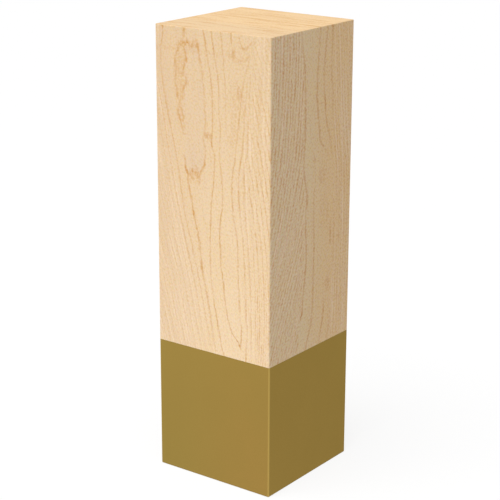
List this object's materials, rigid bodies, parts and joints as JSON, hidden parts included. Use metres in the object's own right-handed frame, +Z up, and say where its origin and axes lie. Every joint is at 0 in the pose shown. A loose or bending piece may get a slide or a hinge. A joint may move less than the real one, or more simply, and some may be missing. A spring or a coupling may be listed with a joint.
{
  "type": "furniture leg",
  "caption": "Square wooden furniture leg with a flat top face and a flush brass ferrule that caps its foot.",
  "frame": {"origin": "centre of the foot, on the floor", "axes": "+Z up along the leg's axis towards the top face, X and Y square to its sides"},
  "size_m": [0.0382, 0.0382, 0.127],
  "materials": {
    "maple": "satin",
    "satin_brass": "satin",
    "screw_steel": "satin"
  },
  "bodies": {
    "root": {"leg_block": "maple", "ferrule": "satin_brass", "ferrule_screw": "screw_steel"}
  },
  "joints": []
}
